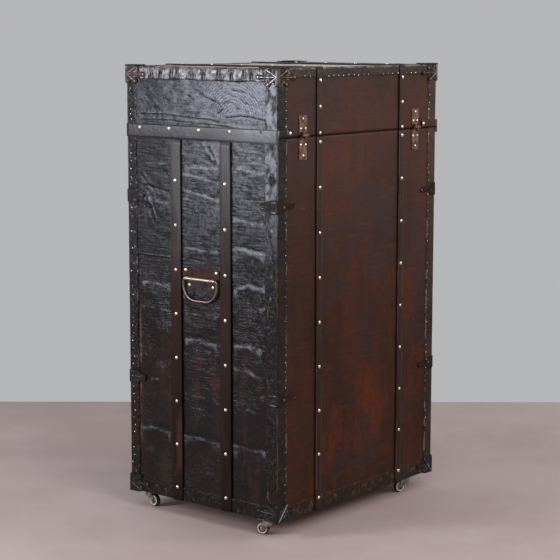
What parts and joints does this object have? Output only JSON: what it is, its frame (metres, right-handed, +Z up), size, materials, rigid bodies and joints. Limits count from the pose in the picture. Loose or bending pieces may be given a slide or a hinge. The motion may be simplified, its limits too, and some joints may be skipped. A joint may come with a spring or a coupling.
{
  "type": "wardrobe trunk",
  "caption": "Upright leather covered wardrobe trunk on casters, with a hinged lid, slats, straps, pressed corner caps, drop handles and an inside hanging rail.",
  "frame": {"origin": "on the floor under the middle of the case", "axes": "+Z up; +Y towards the back, where the lid hinges are; +X towards the right side, which carries a drop handle"},
  "size_m": [0.6704, 0.521, 1.1388],
  "materials": {
    "board_wood": "sanded, unvarnished",
    "lining_cloth": "woven, faded",
    "black_leather": "glossy, finely wrinkled",
    "brown_leather": "smooth, satin, mottled",
    "top_leather": "dusty, satin",
    "binding_leather": "worn, satin",
    "strap_leather": "smooth, worn",
    "slat_wood": "stained, satin",
    "nail_brass": "tarnished domes",
    "cap_iron": "blackened, worn bright on the ridges",
    "clamp_iron": "blackened",
    "hinge_bronze": "tarnished",
    "handle_iron": "rusty brown",
    "bail_wire": "polished by use",
    "caster_iron": "dull",
    "wheel_metal": "worn bright",
    "wheel_tyre": "matt",
    "closure_brass": "tarnished",
    "lock_steel": "dull",
    "rail_steel": "plated",
    "hanger_beech": "varnished",
    "hook_wire": "plated"
  },
  "bodies": {
    "case": {"side_boards": "board_wood", "back_board": "board_wood", "front_board": "board_wood", "bottom_board": "board_wood", "top_lip": "board_wood", "case_lining": "lining_cloth", "side_leather": "black_leather", "front_back_leather": "brown_leather", "case_edge_binding": "binding_leather", "side_straps": "strap_leather", "case_slats": "slat_wood", "case_dome_nails": "nail_brass", "bottom_corner_caps": "cap_iron", "edge_clamps": "clamp_iron", "hinge_lower_leaves": "hinge_bronze", "hinge_pins": "hinge_bronze", "handle_back_plates": "handle_iron", "handle_sleeves": "handle_iron", "caster_plates": "caster_iron", "closure_blocks": "closure_brass", "lock_case": "lock_steel", "hanging_rail": "rail_steel", "rail_sockets": "rail_steel"},
    "lid": {"lid_boards": "board_wood", "lid_lining": "lining_cloth", "lid_side_leather": "black_leather", "lid_front_back_leather": "brown_leather", "lid_top_leather": "top_leather", "lid_edge_binding": "binding_leather", "lid_side_bands": "strap_leather", "lid_slats": "slat_wood", "lid_dome_nails": "nail_brass", "top_corner_caps": "cap_iron", "hinge_upper_leaves": "hinge_bronze", "closure_hinge_plates": "closure_brass"},
    "handle_right": {"bail_right": "bail_wire"},
    "handle_left": {"bail_left": "bail_wire"},
    "hasp": {"lock_hasp": "closure_brass"},
    "catch_right": {"catch_arm_right": "closure_brass"},
    "catch_left": {"catch_arm_left": "closure_brass"},
    "bolt": {"lock_bolt": "lock_steel"},
    "swivel_back_right": {"caster_fork_back_right": "caster_iron"},
    "wheel_back_right": {"caster_wheel_back_right": "wheel_metal", "caster_tyre_back_right": "wheel_tyre"},
    "swivel_front_right": {"caster_fork_front_right": "caster_iron"},
    "wheel_front_right": {"caster_wheel_front_right": "wheel_metal", "caster_tyre_front_right": "wheel_tyre"},
    "swivel_back_left": {"caster_fork_back_left": "caster_iron"},
    "wheel_back_left": {"caster_wheel_back_left": "wheel_metal", "caster_tyre_back_left": "wheel_tyre"},
    "swivel_front_left": {"caster_fork_front_left": "caster_iron"},
    "wheel_front_left": {"caster_wheel_front_left": "wheel_metal", "caster_tyre_front_left": "wheel_tyre"},
    "hanger_1": {"hanger_wood_1": "hanger_beech", "hanger_hook_1": "hook_wire"},
    "hanger_2": {"hanger_wood_2": "hanger_beech", "hanger_hook_2": "hook_wire"},
    "hanger_3": {"hanger_wood_3": "hanger_beech", "hanger_hook_3": "hook_wire"}
  },
  "joints": [
    {"name": "lid_hinge", "type": "hinge", "parent": "case", "child": "lid", "pos_m": [0, 0.253, 0.9743], "axis": [-1, 0, 0], "range_deg": [0, 100]},
    {"name": "handle_right_swing", "type": "hinge", "parent": "case", "child": "handle_right", "pos_m": [0.3306, 0.0025, 0.6146], "axis": [0, -1, 0], "range_deg": [0, 110]},
    {"name": "handle_left_swing", "type": "hinge", "parent": "case", "child": "handle_left", "pos_m": [-0.3306, 0.0025, 0.6146], "axis": [0, 1, 0], "range_deg": [0, 110]},
    {"name": "hasp_fold", "type": "hinge", "parent": "lid", "child": "hasp", "pos_m": [0, -0.2495, 0.98], "axis": [1, 0, 0], "range_deg": [0, 180]},
    {"name": "catch_right_fold", "type": "hinge", "parent": "lid", "child": "catch_right", "pos_m": [0.2316, -0.2495, 0.98], "axis": [1, 0, 0], "range_deg": [0, 180]},
    {"name": "catch_left_fold", "type": "hinge", "parent": "lid", "child": "catch_left", "pos_m": [-0.2316, -0.2495, 0.98], "axis": [1, 0, 0], "range_deg": [0, 180]},
    {"name": "bolt_slide", "type": "slide", "parent": "case", "child": "bolt", "axis": [1, 0, 0], "range_m": [0, 0.011]},
    {"name": "swivel_turn_back_right", "type": "hinge", "parent": "case", "child": "swivel_back_right", "pos_m": [0.303, 0.2, 0.0347], "axis": [0, 0, 1], "continuous": true},
    {"name": "wheel_spin_back_right", "type": "hinge", "parent": "swivel_back_right", "child": "wheel_back_right", "pos_m": [0.30739, 0.18565, 0.0155], "axis": [0.9563, 0.2924, 0], "continuous": true},
    {"name": "swivel_turn_front_right", "type": "hinge", "parent": "case", "child": "swivel_front_right", "pos_m": [0.295, -0.206, 0.0347], "axis": [0, 0, 1], "continuous": true},
    {"name": "wheel_spin_front_right", "type": "hinge", "parent": "swivel_front_right", "child": "wheel_front_right", "pos_m": [0.29579, -0.19102, 0.0155], "axis": [-0.9986, 0.0523, 0], "continuous": true},
    {"name": "swivel_turn_back_left", "type": "hinge", "parent": "case", "child": "swivel_back_left", "pos_m": [-0.233, 0.223, 0.0347], "axis": [0, 0, 1], "continuous": true},
    {"name": "wheel_spin_back_left", "type": "hinge", "parent": "swivel_back_left", "child": "wheel_back_left", "pos_m": [-0.2189, 0.21787, 0.0155], "axis": [0.342, 0.9397, 0], "continuous": true},
    {"name": "swivel_turn_front_left", "type": "hinge", "parent": "case", "child": "swivel_front_left", "pos_m": [-0.233, -0.215, 0.0347], "axis": [0, 0, 1], "continuous": true},
    {"name": "wheel_spin_front_left", "type": "hinge", "parent": "swivel_front_left", "child": "wheel_front_left", "pos_m": [-0.22151, -0.20536, 0.0155], "axis": [-0.6428, 0.766, 0], "continuous": true},
    {"name": "hanger_1_slide", "type": "slide", "parent": "case", "child": "hanger_1", "axis": [1, 0, 0], "range_m": [-0.045, 0.045]},
    {"name": "hanger_2_slide", "type": "slide", "parent": "case", "child": "hanger_2", "axis": [1, 0, 0], "range_m": [-0.045, 0.045]},
    {"name": "hanger_3_slide", "type": "slide", "parent": "case", "child": "hanger_3", "axis": [1, 0, 0], "range_m": [-0.045, 0.045]}
  ]
}
